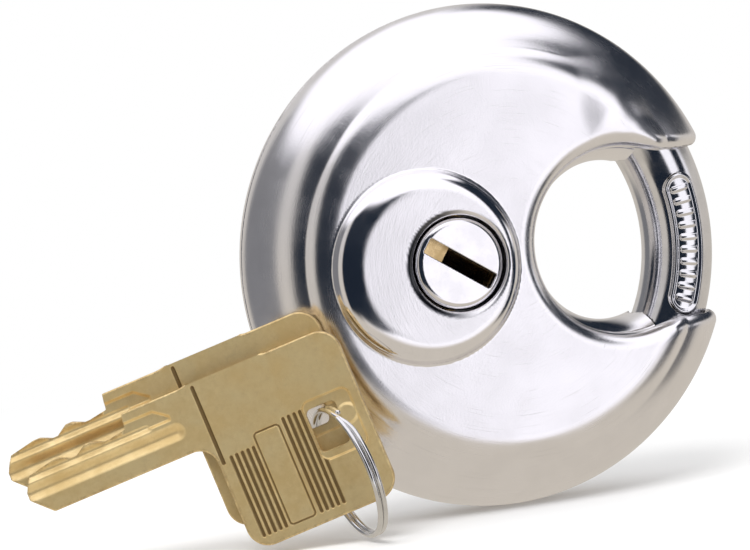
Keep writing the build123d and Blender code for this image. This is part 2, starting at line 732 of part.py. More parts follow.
# Cylinder body with its tower of pin chambers
with BuildPart() as cylinder_body:
    with BuildSketch(face_plane(HOUSING_BACK)):
        with Locations((KEYWAY_X, 0)):
            Circle(HOUSING_R)
        with Locations(polar(TOWER_REACH / 2, PIN_ANGLE, KEYWAY_X)):
            Rectangle(TOWER_REACH, TOWER_WIDTH, rotation=PIN_ANGLE)
        with Locations((KEYWAY_X, 0)):
            Circle(BORE_R, mode=Mode.SUBTRACT)
    extrude(amount=HOUSING_FRONT - HOUSING_BACK)
    for depth in pin_depths():
        with BuildSketch(pin_plane(depth).offset(PLUG_R - 1)):
            Circle(CHAMBER_R)
        extrude(amount=TOWER_REACH, mode=Mode.SUBTRACT)
save(cylinder_body, "cylinder_body")

with BuildPart() as anti_drill_plate:
    with BuildSketch(face_plane(DRILL_PLATE_BACK)):
        with Locations((KEYWAY_X, 0)):
            Circle(HOUSING_R)
            Circle(PLUG_R + 0.15, mode=Mode.SUBTRACT)
    extrude(amount=DRILL_PLATE_FRONT - DRILL_PLATE_BACK)
save(anti_drill_plate, "anti_drill_plate")

# Pin stacks: key pins of four lengths, equal drivers, springs and the chamber plugs
for index, (depth, tip) in enumerate(zip(pin_depths(), PIN_TIPS)):
    with BuildPart() as key_pin:
        with BuildSketch(pin_plane(depth).offset(tip)):
            Circle(PIN_R)
        extrude(amount=KEY_PIN_TOP - tip)
        chamfer(key_pin.edges().filter_by(GeomType.CIRCLE).sort_by(Axis.X)[-1], length=0.45)
    save(key_pin, "key_pin_" + str(index + 1))

with BuildPart() as driver_pins:
    for depth in pin_depths():
        with BuildSketch(pin_plane(depth).offset(DRIVER_START)):
            Circle(PIN_R)
        extrude(amount=DRIVER_LENGTH)
save(driver_pins, "driver_pins")

with BuildPart() as pin_springs:
    for depth in pin_depths():
        base = pin_plane(depth).offset(SPRING_START + SPRING_WIRE_R)
        height = CHAMBER_END - SPRING_START - 2 * SPRING_WIRE_R - 0.05
        with BuildLine():
            coil = Helix(height / SPRING_TURNS, height, SPRING_R, base.origin, base.z_dir)
        with BuildSketch(Plane(origin=coil @ 0, z_dir=coil % 0)):
            Circle(SPRING_WIRE_R)
        sweep(path=coil, is_frenet=True)
save(pin_springs, "pin_springs")

with BuildPart() as chamber_plugs:
    for depth in pin_depths():
        with BuildSketch(pin_plane(depth).offset(CHAMBER_END)):
            Circle(CHAMBER_R - 0.01)
        extrude(amount=TOWER_REACH - CHAMBER_END - 0.1)
save(chamber_plugs, "chamber_plugs")

# Two keys on a split ring, standing beside the lock with their bows leaning on its rim
front_key_plane = key_plane(FRONT_KEY_PLACE)
rear_key_plane = key_plane(front_key_plane.from_local_coords(REAR_KEY_SHIFT))
key_front = make_key(front_key_plane)
save(key_front, "key_front")
key_rear = make_key(rear_key_plane)
save(key_rear, "key_rear")

slant, forward = radians(KEY_RING_SLANT), radians(KEY_RING_FORWARD)
across = front_key_plane.z_dir * cos(slant) - front_key_plane.x_dir * sin(slant)
to_centre = front_key_plane.y_dir * cos(forward) + across * sin(forward)
hold = front_key_plane.from_local_coords(KEY_RING_HOLD)
ring_plane = Plane(
    origin=hold + to_centre * KEY_RING_R,
    x_dir=to_centre,
    z_dir=to_centre.cross(across),
)
with BuildPart() as key_ring:
    with BuildSketch(Plane(ring_plane.origin, ring_plane.x_dir, ring_plane.y_dir)):
        with Locations((KEY_RING_R, 0)):
            Circle(KEY_RING_WIRE_R)
    revolve(axis=Axis(ring_plane.origin, ring_plane.z_dir))
save(key_ring, "key_ring")
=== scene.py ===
"""Disc padlock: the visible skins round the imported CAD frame, their metals, and a soft studio.

Shapes are worked out in millimetres as distance fields in the row frame, polygonised, and stored in
metres. A field is negative inside the metal. The body's axis is Y, w is the height above the mid-plane
towards the keyway, and x and z are the row frame's own.
"""

import json
from itertools import product
from math import cos, degrees, pi, radians, sin

import bpy
import numpy as np
from mathutils import Matrix, Vector


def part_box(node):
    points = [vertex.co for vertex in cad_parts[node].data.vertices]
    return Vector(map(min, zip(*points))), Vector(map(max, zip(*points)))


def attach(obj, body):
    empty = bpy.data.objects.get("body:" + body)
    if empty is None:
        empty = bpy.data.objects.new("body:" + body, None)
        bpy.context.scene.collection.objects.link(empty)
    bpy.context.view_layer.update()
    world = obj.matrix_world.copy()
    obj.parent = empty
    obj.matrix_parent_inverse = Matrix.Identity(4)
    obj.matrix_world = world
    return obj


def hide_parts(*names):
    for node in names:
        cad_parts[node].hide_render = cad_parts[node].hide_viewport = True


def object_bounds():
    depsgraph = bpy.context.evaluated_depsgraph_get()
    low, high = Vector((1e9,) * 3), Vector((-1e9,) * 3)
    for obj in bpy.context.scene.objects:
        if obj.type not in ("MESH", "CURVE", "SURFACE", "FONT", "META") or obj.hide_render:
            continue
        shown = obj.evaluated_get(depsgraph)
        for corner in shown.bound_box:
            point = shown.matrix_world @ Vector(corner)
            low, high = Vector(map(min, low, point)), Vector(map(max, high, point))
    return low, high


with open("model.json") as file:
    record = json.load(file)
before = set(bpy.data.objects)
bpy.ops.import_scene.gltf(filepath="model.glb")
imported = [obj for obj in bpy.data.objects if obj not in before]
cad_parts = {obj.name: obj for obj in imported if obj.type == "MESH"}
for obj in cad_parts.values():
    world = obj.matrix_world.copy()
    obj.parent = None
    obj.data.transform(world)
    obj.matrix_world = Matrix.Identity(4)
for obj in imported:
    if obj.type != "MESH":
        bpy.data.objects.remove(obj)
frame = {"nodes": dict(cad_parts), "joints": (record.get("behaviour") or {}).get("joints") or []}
cad_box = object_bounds()

MM = 0.001
COARSE = 1.0
SHELL_STEP, LINER_STEP = 0.3 * COARSE, 0.3 * COARSE
CAP_STEP, KEY_STEP = 0.14 * COARSE, 0.15 * COARSE


def box_mm(node):
    """Lowest and highest corner of a CAD node in millimetres."""
    return [np.round(np.array(corner) / MM, 2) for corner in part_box(node)]


# Sizes that the frame gives
shell_low, shell_high = box_mm("front_shell")
liner_low, liner_high = box_mm("opening_liner")
cap_low, cap_high = box_mm("plug_cap")
bar_high = box_mm("shackle")[1]
BODY_R = -shell_low[0]
MID_Y = shell_high[1]
HALF = box_mm("rear_shell")[1][1] - MID_Y
BOSS_HEIGHT = MID_Y - shell_low[1] - HALF
LINER_WALL = 1.2
OPENING_X = liner_low[0] + liner_high[2]
SEAM_R = liner_high[2] - LINER_WALL
SEAM_W = (liner_high[1] - liner_low[1]) / 2
KEYWAY_X = (cap_low[0] + cap_high[0]) / 2
CAP_R = (cap_high[0] - cap_low[0]) / 2
CAP_TOP = MID_Y - cap_low[1]
CAP_BOTTOM = MID_Y - cap_high[1]
BAR_R = bar_high[1] - MID_Y
BAR_PATH_R = bar_high[0] - BAR_R

# Round body
RIM_R = 10.0
SHOULDER_R = 5.3
PLATEAU_R = 24.6
WALL = 1.3
CREASE, HORN_BLEND = 0.15, 2.5
LIP_ROLL = 2.5
HORN_ROLL = 2.0
SLOT_HALF = 11.6
OPENING_CORNER = 1.2
HORN_WALL_X = 22.3
SEAM_GAP, SEAM_EDGE = 0.03, 0.15

# Raised boss round the keyway
BOSS_X, BOSS_R = -12.0, 13.1
BOSS_TOP_X, BOSS_TOP_R = -11.0, 10.1
BOSS_FILLET = 0.4
HOLE_R = 6.55
COLLAR_ROLL, COLLAR_SLIDE = 0.85, 0.4

# Liner between the lips
LINER_CREST = 1.7
BAR_GAP = 0.35

# Plug cap
CAP_EDGE = 1.1
SLOT_LENGTH, SLOT_WIDTH = 10.5, 2.2
SLOT_ANGLE = radians(145)

# Shackle
BAR_TIP, BAR_TAIL = 40.0, -165.0
PAD_FLAT_R = 4.4
PANEL_TOP, PANEL_BOTTOM = 12.2, -19.5
PANEL_WIDTH, PANEL_BORDER = 4.2, 0.45
PANEL_RAISE, RIB_RAISE = 0.35, 0.26

# Keys, in their own plane: x from the bow to the tip, y to the lower edge
BOW = (21.0, 24.0)
BOW_CORNER = 3.0
KEY_THICK = 2.1
KEY_ROUND = 0.28
BLADE_ROOT_HEIGHT = 8.6
BLADE_SHOULDER = 9.6
BLADE_REACH = 15.4
TIP_CUT = 2.6
HOLD = (-4.2, -1.7, -1.2)
KEY_DROP = radians(16.3)
REAR_SHIFT = (1.6, -3.4, -2.4)
RING_SLANT = radians(22)
RING_R, RING_WIRE_R = 8.95, 0.36


# ---------------------------------------------------------------- field arithmetic
def smoothstep(low, high, v):
    t = np.clip((v - low) / (high - low), 0, 1)
    return t * t * (3 - 2 * t)


def soft_union(a, b, k):
    """Union whose inner corner is filled over about k."""
    h = np.maximum(k - np.abs(a - b), 0) / k
    return np.minimum(a, b) - h * h * k / 4


def round_union(a, b, r):
    """Union with a fillet of radius r."""
    corner = np.hypot(np.maximum(r - a, 0), np.maximum(r - b, 0))
    return np.maximum(r, np.minimum(a, b)) - corner


def round_common(a, b, r):
    """Intersection with its edge rounded to radius r."""
    corner = np.hypot(np.maximum(r + a, 0), np.maximum(r + b, 0))
    return np.minimum(-r, np.maximum(a, b)) + corner


def round_box(x, y, half_x, half_y, r):
    dx = np.abs(x) - half_x + r
    dy = np.abs(y) - half_y + r
    return np.hypot(np.maximum(dx, 0), np.maximum(dy, 0)) + np.minimum(np.maximum(dx, dy), 0) - r


# ---------------------------------------------------------------- polygonising
def gradient(field, p, h):
    columns = []
    for axis in range(3):
        step = np.zeros(3)
        step[axis] = h
        columns.append((field(*(p + step).T) - field(*(p - step).T)) / (2 * h))
    return np.stack(columns, 1)


def polygonise(field, low, high, step):
    """Points, quads and normals of the zero level of field(x, y, z): one point for each crossed cell."""
    axes = [np.arange(a - step, b + 2 * step, step) for a, b in zip(low, high)]
    shape = tuple(len(a) for a in axes)
    value = np.broadcast_to(field(*np.meshgrid(*axes, indexing="ij", sparse=True)), shape)
    inside = value < 0
    corners = list(product((0, 1), repeat=3))
    count = np.zeros([n - 1 for n in shape], np.uint8)
    for i, j, k in corners:
        count += inside[i : shape[0] - 1 + i, j : shape[1] - 1 + j, k : shape[2] - 1 + k]
    cells = np.argwhere((count > 0) & (count < 8))
    number = np.full(count.shape, -1, np.int64)
    number[tuple(cells.T)] = np.arange(len(cells))

    at_corner = {c: value[tuple((cells + c).T)] for c in corners}
    total = np.zeros((len(cells), 3))
    crossings = np.zeros(len(cells))
    for axis in range(3):
        for start in corners:
            if start[axis]:
                continue
            end = tuple(c + (a == axis) for a, c in enumerate(start))
            a, b = at_corner[start], at_corner[end]
            crossed = (a < 0) != (b < 0)
            share = np.where(crossed, a / np.where(crossed, a - b, 1), 0)
            place = np.array(start, float) + share[:, None] * np.eye(3)[axis]
            total += place * crossed[:, None]
            crossings += crossed
    origin = np.array([a[0] for a in axes])
    points = origin + step * (cells + total / crossings[:, None])

    quads = []
    for axis in range(3):
        b, c = (axis + 1) % 3, (axis + 2) % 3
        first = np.take(inside, range(shape[axis] - 1), axis)
        second = np.take(inside, range(1, shape[axis]), axis)
        edges = np.argwhere(first != second)
        kept = (edges[:, b] > 0) & (edges[:, b] < shape[b] - 1)
        kept &= (edges[:, c] > 0) & (edges[:, c] < shape[c] - 1)
        edges = edges[kept]
        ring = []
        for db, dc in ((-1, -1), (0, -1), (0, 0), (-1, 0)):
            cell = edges.copy()
            cell[:, b] += db
            cell[:, c] += dc
            ring.append(number[tuple(cell.T)])
        ring = np.stack(ring, 1)
        outward = inside[tuple(edges.T)]
        quads.append(np.where(outward[:, None], ring, ring[:, ::-1]))
    quads = np.concatenate(quads)

    for _ in range(3):
        slope = gradient(field, points, 0.02)
        move = field(*points.T) / np.maximum((slope**2).sum(1), 0.05)
        shift = slope * move[:, None]
        length = np.linalg.norm(shift, axis=1)
        points = points - shift * np.minimum(1, 0.5 * step / np.maximum(length, 1e-9))[:, None]
    normals = gradient(field, points, 0.3 * step)
    normals /= np.maximum(np.linalg.norm(normals, axis=1), 1e-9)[:, None]
    return points, quads, normals


def tube(centres, side, front, radius, turn):
    """Points, quads and caps of a bar along centres. radius has a row per centre, a column per turn."""
    rows, columns = radius.shape
    around = np.cos(turn)[None, :, None] * front[:, None, :]
    around = around + np.sin(turn)[None, :, None] * side[:, None, :]
    points = (centres[:, None, :] + radius[..., None] * around).reshape(-1, 3)
    i, j = np.meshgrid(np.arange(rows - 1), np.arange(columns), indexing="ij")
    k = (j + 1) % columns
    this, following = i * columns, (i + 1) * columns
    quads = np.stack([this + j, this + k, following + k, following + j], -1)
    caps = [list(range(columns))[::-1], [(rows - 1) * columns + j for j in range(columns)]]
    return points, quads.reshape(-1, 4), caps


def make_piece(name, points, quads, material, normals=None, caps=(), masks=None):
    """A mesh object from points in millimetres, with smooth shading."""
    mesh = bpy.data.meshes.new(name)
    loops = np.concatenate([quads.ravel(), np.array([v for cap in caps for v in cap], np.int64)])
    sizes = np.concatenate([np.full(len(quads), 4), np.array([len(cap) for cap in caps], np.int64)])
    mesh.vertices.add(len(points))
    mesh.vertices.foreach_set("co", (points * MM).astype(np.float32).ravel())
    mesh.loops.add(len(loops))
    mesh.loops.foreach_set("vertex_index", loops.astype(np.int32))
    mesh.polygons.add(len(sizes))
    starts = np.concatenate([[0], np.cumsum(sizes)[:-1]])
    mesh.polygons.foreach_set("loop_start", starts.astype(np.int32))
    mesh.update(calc_edges=True)
    mesh.polygons.foreach_set("use_smooth", np.ones(len(sizes), bool))
    if normals is not None:
        mesh.normals_split_custom_set_from_vertices(normals.astype(np.float32))
    for mask, amount in (masks or {}).items():
        layer = mesh.attributes.new(mask, "FLOAT", "POINT")
        layer.data.foreach_set("value", np.asarray(amount, np.float32))
    mesh.materials.append(material)
    piece = bpy.data.objects.new(name, mesh)
    bpy.context.scene.collection.objects.link(piece)
    return piece


# ---------------------------------------------------------------- body fields
def body_field(x, w, z):
    """The round body: a flat disc with a rounded shoulder, and a thick rim beyond a crease."""
    r = np.hypot(x, z)
    over_x, over_w = r - PLATEAU_R, np.abs(w) - (HALF - SHOULDER_R)
    disc = np.hypot(np.maximum(over_x, 0), np.maximum(over_w, 0)) - SHOULDER_R
    disc = disc + np.minimum(np.maximum(over_x, over_w), 0)
    rim = np.hypot(r - (BODY_R - RIM_R), w) - RIM_R
    upper = smoothstep(0.55, 0.75, z / np.maximum(r, 1))
    towards_horn = smoothstep(0.35, 0.75, x / np.maximum(r, 1))
    return soft_union(disc, rim, CREASE + HORN_BLEND * (upper * towards_horn))


def opening_field(x, z, slot_end=BODY_R * 2):
    """The opening in the plane of the faces: a circle with a slot that runs out to the rim."""
    circle = np.hypot(x - OPENING_X, z) - SEAM_R
    slot = np.maximum(np.maximum(np.abs(z) - SLOT_HALF, OPENING_X - x), x - slot_end)
    return round_union(circle, slot, OPENING_CORNER)


def bar_field(x, w, z):
    """The shackle's round bar, as a full ring."""
    return np.hypot(np.hypot(x, z) - BAR_PATH_R, w) - BAR_R


def boss_field(x, w, z):
    """The boss: circles that shrink and slide towards the keyway as its side rises to its flat top."""
    slide, shrink = BOSS_TOP_X - BOSS_X, BOSS_R - BOSS_TOP_R
    x = x - BOSS_X
    a = slide**2 - shrink**2
    b = 2 * (BOSS_R * shrink - x * slide)
    c = x * x + z * z - BOSS_R**2
    share = -2 * c / (b + np.sqrt(np.maximum(b * b - 4 * a * c, 0.01)))
    share = np.clip(share, -1.5, 1.2)
    width = shrink - slide * np.clip((x - slide * share) / (BOSS_R - shrink * share), -1, 1)
    u = np.maximum(1 - share, 0)
    v = np.maximum((w - HALF) / BOSS_HEIGHT, 0)
    reach = np.hypot(u, v)
    tiny = 0.001
    return (reach - 1) * (reach + tiny) / (np.hypot(u / width, v / BOSS_HEIGHT) + tiny / BOSS_HEIGHT)


def keyway_hole(x, z):
    """Distance outside the keyway's hole, and the width of its rolled edge there."""
    reach = np.hypot(x - KEYWAY_X, z)
    return reach - HOLE_R, COLLAR_ROLL - COLLAR_SLIDE * (x - KEYWAY_X) / np.maximum(reach, 0.1)


def shell_field(front):
    """One pressed shell: its skin, its half of the rolled lip and, in front, the boss with its hole."""

    def field(x, y, z):
        w = MID_Y - y
        body = body_field(x, w, z)
        roll = LIP_ROLL + (HORN_ROLL - LIP_ROLL) * smoothstep(22.0, 27.5, x)
        solid = round_common(body, -opening_field(x, z), roll)
        behind_lip = WALL - opening_field(x, z, HORN_WALL_X)
        hollow = round_common(body + WALL, behind_lip, LIP_ROLL - WALL)
        if front:
            boss = boss_field(x, w, z)
            solid = round_union(solid, boss, BOSS_FILLET)
            hollow = np.minimum(hollow, boss + WALL)
            hole, collar = keyway_hole(x, z)
            solid = round_common(solid, -hole, collar)
        skin = np.maximum(solid, -hollow)
        past_seam = np.hypot(x - OPENING_X, z) - SEAM_R - WALL - 0.1
        lip_end = np.maximum(past_seam, np.abs(w) - SEAM_W - 0.12)
        skin = np.maximum(skin, -lip_end)
        return round_common(skin, SEAM_GAP - w if front else SEAM_GAP + w, SEAM_EDGE)

    return field


def liner_field(x, y, z):
    """The liner: a convex band bent round the opening, its ends shaped to the shackle."""
    w = MID_Y - y
    out = np.hypot(x - OPENING_X, z) - SEAM_R
    bulge = (SEAM_W**2 + LINER_CREST**2) / (2 * LINER_CREST)
    face = np.hypot(out + LINER_CREST - bulge, w) - bulge
    band = np.maximum(np.abs(face + LINER_WALL / 2) - LINER_WALL / 2, out - LINER_WALL)
    band = round_common(band, np.abs(w) - SEAM_W, 0.2)
    return round_common(band, BAR_GAP - bar_field(x, w, z), 0.2)


def cap_field(x, y, z):
    """The plug's cap: a disc with a domed edge and the key slot across it."""
    w = MID_Y - y
    round_edge = round_common(np.hypot(x - KEYWAY_X, z) - CAP_R, w - CAP_TOP, CAP_EDGE)
    disc = np.maximum(round_edge, CAP_BOTTOM - w)
    along = (x - KEYWAY_X) * cos(SLOT_ANGLE) + z * sin(SLOT_ANGLE)
    across = z * cos(SLOT_ANGLE) - (x - KEYWAY_X) * sin(SLOT_ANGLE)
    slot = round_box(along, across, SLOT_LENGTH / 2, SLOT_WIDTH / 2, 0.2)
    return round_common(disc, -slot, 0.12)


# ---------------------------------------------------------------- key fields, in a key's own plane
BOW_END = BOW[0] / 2
KEY_TOP = -BOW[1] / 2
BLADE_LOW = KEY_TOP + BLADE_ROOT_HEIGHT
SHOULDER_X = BOW_END + BLADE_SHOULDER
TIP_X = SHOULDER_X + BLADE_REACH
HOLE_X, HOLE_Y = -4.8, 0.3
HOLE_HALF, HOLE_CORNER = (2.1, 3.0), 0.8
RIB_GROUPS = ((-2.9, -3.0), (5.4, -1.0))  # first line's x and its upper end
RIBS, RIB_PITCH = 5, 0.8


def key_outline(x, y):
    """The key's outline without its hole: bow, filleted blade, cut edge and slanted tip."""
    bow = round_box(x, y, BOW_END, -KEY_TOP, BOW_CORNER)
    middle, half = (TIP_X + 1.5) / 2, (TIP_X - 1.5) / 2
    height = BLADE_ROOT_HEIGHT / 2
    blade = round_box(x - middle, y - KEY_TOP - height, half, height, 0.3)
    cut_x = SHOULDER_X + np.array([-0.25, 0.15, 2.6, 3.4, 5.0, 5.8, 7.4, 8.2, 9.8, 10.6, 14.2, 15.3])
    cut_depth = np.array([0.0, 2.2, 2.6, 2.6, 1.9, 1.9, 2.9, 2.9, 2.2, 2.2, 2.9, 4.8])
    cut = (KEY_TOP + np.interp(x, cut_x, cut_depth) - y) * 0.85
    low_tip = (x + y - TIP_X - BLADE_LOW + TIP_CUT) * 0.7071
    blade = round_common(blade, np.maximum(cut, low_tip), 0.15)
    return round_union(bow, blade, 2.6)


def key_hole(x, y):
    return round_box(x - HOLE_X, y - HOLE_Y, *HOLE_HALF, HOLE_CORNER)


def groove(distance, half, depth):
    """Depth of a groove with sloped sides at a distance from its middle line."""
    return depth * (1 - smoothstep(half * 0.55, half * 1.25, distance))


def bar_distance(x, y, x0, x1, y0, y1, r):
    return round_box(x - (x0 + x1) / 2, y - (y0 + y1) / 2, (x1 - x0) / 2, (y1 - y0) / 2, r)


def key_engraving(x, y):
    """How far a key's face is sunk: ribs, framed field, hole recess, root line and blade grooves."""
    sunk = 0 * (x + y)
    for first, top in RIB_GROUPS:
        for rib in range(RIBS):
            middle = first + RIB_PITCH * rib
            line = bar_distance(x, y, middle - 0.05, middle + 0.05, top, 10.4, 0.05)
            sunk = np.maximum(sunk, groove(np.abs(line), 0.2, 0.22))
    frame_line = np.abs(bar_distance(x, y, 1.15, 4.75, -2.6, 10.5, 0.5))
    sunk = np.maximum(sunk, groove(frame_line, 0.16, 0.16))
    recess = round_box(x - HOLE_X + 1.0, y - HOLE_Y, 3.5, 4.3, 1.3)
    sunk = np.maximum(sunk, 0.34 * (1 - smoothstep(-0.35, 0.0, recess)))
    bump = np.hypot(x - HOLE_X + 3.1, y - HOLE_Y + 0.6) - 1.5
    sunk = sunk - 0.2 * (1 - smoothstep(-0.5, 0.1, bump))
    root = bar_distance(x, y, BOW_END - 0.76, BOW_END - 0.64, KEY_TOP + 0.5, KEY_TOP + 11.5, 0.05)
    sunk = np.maximum(sunk, groove(np.abs(root), 0.2, 0.3))
    long_line = bar_distance(x, y, BOW_END + 3.4, TIP_X + 4, BLADE_LOW - 3.5, BLADE_LOW - 3.3, 0.1)
    sunk = np.maximum(sunk, 0.62 * (1 - smoothstep(-0.1, 1.25, long_line)))
    short_line = bar_distance(x, y, BOW_END + 6.9, TIP_X + 4, KEY_TOP + 3.0, KEY_TOP + 3.1, 0.05)
    sunk = np.maximum(sunk, 0.55 * (1 - smoothstep(0.0, 0.9, short_line)))
    scoop = bar_distance(x, y, BOW_END + 3.4, SHOULDER_X + 1.0, KEY_TOP + 1.2, KEY_TOP + 3.6, 0.3)
    scoop = np.maximum(scoop, (KEY_TOP + 1.2 - y) * 0.8 + (BOW_END + 5.4 - x) * 0.6)
    return np.maximum(sunk, 0.45 * (1 - smoothstep(-0.45, 0.0, scoop)))


def key_field(x, y, z):
    face = np.abs(z) - KEY_THICK / 2
    edge = round_common(key_outline(x, y), -key_hole(x, y), 0.1)
    blank = round_common(edge, face, KEY_ROUND)
    return np.maximum(blank, (face + key_engraving(x, y)) * 0.9)


def key_axes(facing, drop):
    """A key plane's x, y and z directions: facing is z, and x points left and falls by drop."""
    right = np.array([-facing[1], facing[0], 0]) / np.hypot(facing[0], facing[1])
    up = np.cross(facing, right)
    along = -cos(drop) * right - sin(drop) * up
    return np.stack([along, np.cross(facing, along), facing])


# ---------------------------------------------------------------- shader graphs
class Wire:
    """A socket that arithmetic can be done with."""

    def __init__(self, tree, socket):
        self.tree = tree
        self.socket = socket

    def maths(self, operation, *others):
        node = self.tree.nodes.new("ShaderNodeMath")
        node.operation = operation
        for place, value in zip(node.inputs, (self,) + others):
            plug(self.tree, place, value)
        return Wire(self.tree, node.outputs[0])

    def __add__(self, other):
        return self.maths("ADD", other)

    def __sub__(self, other):
        return self.maths("SUBTRACT", other)

    def __mul__(self, other):
        return self.maths("MULTIPLY", other)

    def __truediv__(self, other):
        return self.maths("DIVIDE", other)

    def ramp(self, low, high, to_low=0.0, to_high=1.0):
        """Smooth step from to_low at low to to_high at high."""
        node = self.tree.nodes.new("ShaderNodeMapRange")
        node.interpolation_type = "SMOOTHSTEP"
        names = ("Value", "From Min", "From Max", "To Min", "To Max")
        for name, value in zip(names, (self, low, high, to_low, to_high)):
            plug(self.tree, node.inputs[name], value)
        return Wire(self.tree, node.outputs[0])

    def band(self, low, high, soft):
        """1 between low and high, fading to 0 over soft at both sides."""
        rise = (self - low).ramp(-soft, soft)
        fall = (self - high).ramp(-soft, soft)
        return rise * (fall * -1.0 + 1.0)


def plug(tree, place, value):
    if isinstance(value, Wire):
        tree.links.new(value.socket, place)
    elif isinstance(value, bpy.types.NodeSocket):
        tree.links.new(value, place)
    else:
        place.default_value = value


def add_node(tree, kind, inputs=None, output=0, **settings):
    node = tree.nodes.new(kind)
    for name, value in settings.items():
        setattr(node, name, value)
    for name, value in (inputs or {}).items():
        plug(tree, node.inputs[name], value)
    return Wire(tree, node.outputs[output])


def mix_colour(tree, amount, first, second, blend="MIX"):
    node = tree.nodes.new("ShaderNodeMix")
    node.data_type = "RGBA"
    node.blend_type = blend
    plug(tree, node.inputs[0], amount)
    for place, value in zip((node.inputs[6], node.inputs[7]), (first, second)):
        plug(tree, place, value if isinstance(value, Wire) else (*value, 1.0))
    return Wire(tree, node.outputs[2])


def noise(tree, vector, scale, detail=2.0, roughness=0.5):
    inputs = {"Vector": vector, "Scale": scale, "Detail": detail, "Roughness": roughness}
    return add_node(tree, "ShaderNodeTexNoise", inputs)


def position(tree):
    """The point in millimetres, and its parts."""
    coordinates = tree.nodes.new("ShaderNodeTexCoord")
    scaled = tree.nodes.new("ShaderNodeVectorMath")
    scaled.operation = "SCALE"
    scaled.inputs["Scale"].default_value = 1 / MM
    tree.links.new(coordinates.outputs["Object"], scaled.inputs[0])
    split = tree.nodes.new("ShaderNodeSeparateXYZ")
    tree.links.new(scaled.outputs[0], split.inputs[0])
    return Wire(tree, scaled.outputs[0]), [Wire(tree, s) for s in split.outputs]


def combine(tree, x, y, z):
    return add_node(tree, "ShaderNodeCombineXYZ", {"X": x, "Y": y, "Z": z})


def mask(tree, name):
    node = tree.nodes.new("ShaderNodeAttribute")
    node.attribute_name = name
    return Wire(tree, node.outputs["Fac"])


def new_metal(name):
    """A material with a metallic surface. Returns it, its tree and its surface node."""
    material = bpy.data.materials.new(name)
    material.use_nodes = True
    surface = material.node_tree.nodes["Principled BSDF"]
    surface.inputs["Metallic"].default_value = 1.0
    return material, material.node_tree, surface


def finish_metal(tree, surface, colour, roughness, relief, height):
    """Connect colour, roughness and a relief wire whose full swing is height millimetres."""
    plug(tree, surface.inputs["Base Color"], colour)
    plug(tree, surface.inputs["Roughness"], roughness)
    bump = tree.nodes.new("ShaderNodeBump")
    bump.inputs["Strength"].default_value = 1.0
    bump.inputs["Distance"].default_value = height * MM
    plug(tree, bump.inputs["Height"], relief)
    tree.links.new(bump.outputs[0], surface.inputs["Normal"])


def stainless_metal():
    """Satin stainless steel, brushed round the axis, mirror bright where the polish mask is set, with
    painted shade on the keyway collar.
    """
    material, tree, surface = new_metal("stainless")
    point, (x, y, z) = position(tree)
    radius = (x * x + z * z).maths("SQRT")
    angle = z.maths("ARCTAN2", x)
    brushed = noise(tree, combine(tree, radius * 3.2, angle * 5.0, y * 3.2), 1.0, 3.0, 0.6)
    grain = noise(tree, point, 4.2, 2.0, 0.6)
    cloud = noise(tree, point, 0.16, 3.0, 0.55)
    scratch = noise(tree, combine(tree, radius * 9.0, angle * 3.0, y * 9.0), 1.0, 1.0).ramp(0.66, 0.74)
    polish = mask(tree, "polish")
    satin = cloud.ramp(0.3, 0.7, 0.17, 0.25) + grain * 0.03 + scratch * 0.05
    roughness = satin + polish * -0.13
    colour = mix_colour(tree, cloud.ramp(0.35, 0.65), (0.91, 0.90, 0.92), (0.95, 0.94, 0.96))
    colour = mix_colour(tree, scratch * 0.25, colour, (0.62, 0.60, 0.60))
    # Painted shade: where the collar mask is set, the colour goes to near black.
    colour = mix_colour(tree, mask(tree, "collar") * 0.92, colour, (0.02, 0.025, 0.035))
    relief = (brushed * 0.45 + grain * 0.55) * (polish * -0.9 + 1.0)
    finish_metal(tree, surface, colour, roughness.maths("MAXIMUM", 0.05), relief, 0.012)
    return material


def polished_steel(name, tint, rough_low, rough_high):
    """Polished hardened steel with faint handling marks."""
    material, tree, surface = new_metal(name)
    point, _ = position(tree)
    cloud = noise(tree, point, 0.35, 4.0, 0.6)
    grain = noise(tree, point, 6.0, 2.0, 0.6)
    mark = noise(tree, point, 1.4, 5.0, 0.7).ramp(0.6, 0.72)
    colour = mix_colour(tree, cloud.ramp(0.35, 0.65), tint, tuple(c * 0.93 for c in tint))
    roughness = cloud.ramp(0.3, 0.7, rough_low, rough_high) + mark * 0.05
    finish_metal(tree, surface, colour, roughness, grain, 0.004)
    return material


def dull_metal(name, dark, light, rough_low, rough_high, height):
    """Cast or plated metal: mottled, with a grainy surface."""
    material, tree, surface = new_metal(name)
    point, _ = position(tree)
    mottle = noise(tree, point, 0.9, 5.0, 0.65)
    grain = noise(tree, point, 5.0, 3.0, 0.7)
    colour = mix_colour(tree, mottle.ramp(0.3, 0.7), dark, light)
    roughness = grain.ramp(0.3, 0.7, rough_low, rough_high)
    finish_metal(tree, surface, colour, roughness, grain + mottle, height)
    return material


def key_brass():
    """Worn brass: yellow faces, brown grime in the engraving and a blotchy darker brown band along the
    outline.
    """
    material, tree, surface = new_metal("key_brass")
    surface.inputs["Metallic"].default_value = 0.72
    point, _ = position(tree)
    cloud = noise(tree, point, 0.3, 4.0, 0.6)
    blotch = noise(tree, point, 1.1, 5.0, 0.7)
    grain = noise(tree, point, 7.0, 3.0, 0.7)
    colour = mix_colour(tree, cloud.ramp(0.3, 0.7), (0.93, 0.73, 0.38), (0.78, 0.58, 0.27))
    colour = mix_colour(tree, blotch.ramp(0.5, 0.75) * 0.35, colour, (0.68, 0.50, 0.24))
    # Darker brown, rougher band along the outline and round the hole, broken up by the blotch noise.
    outline_band = mask(tree, "edge") * blotch.ramp(0.3, 0.8)
    colour = mix_colour(tree, outline_band * 0.85, colour, (0.26, 0.15, 0.07))
    colour = mix_colour(tree, mask(tree, "grime") * 0.85, colour, (0.16, 0.09, 0.03))
    roughness = cloud.ramp(0.3, 0.7, 0.28, 0.38) + outline_band * 0.12 + grain * 0.06
    finish_metal(tree, surface, colour, roughness, grain * 0.5 + blotch * 0.5, 0.05)
    return material


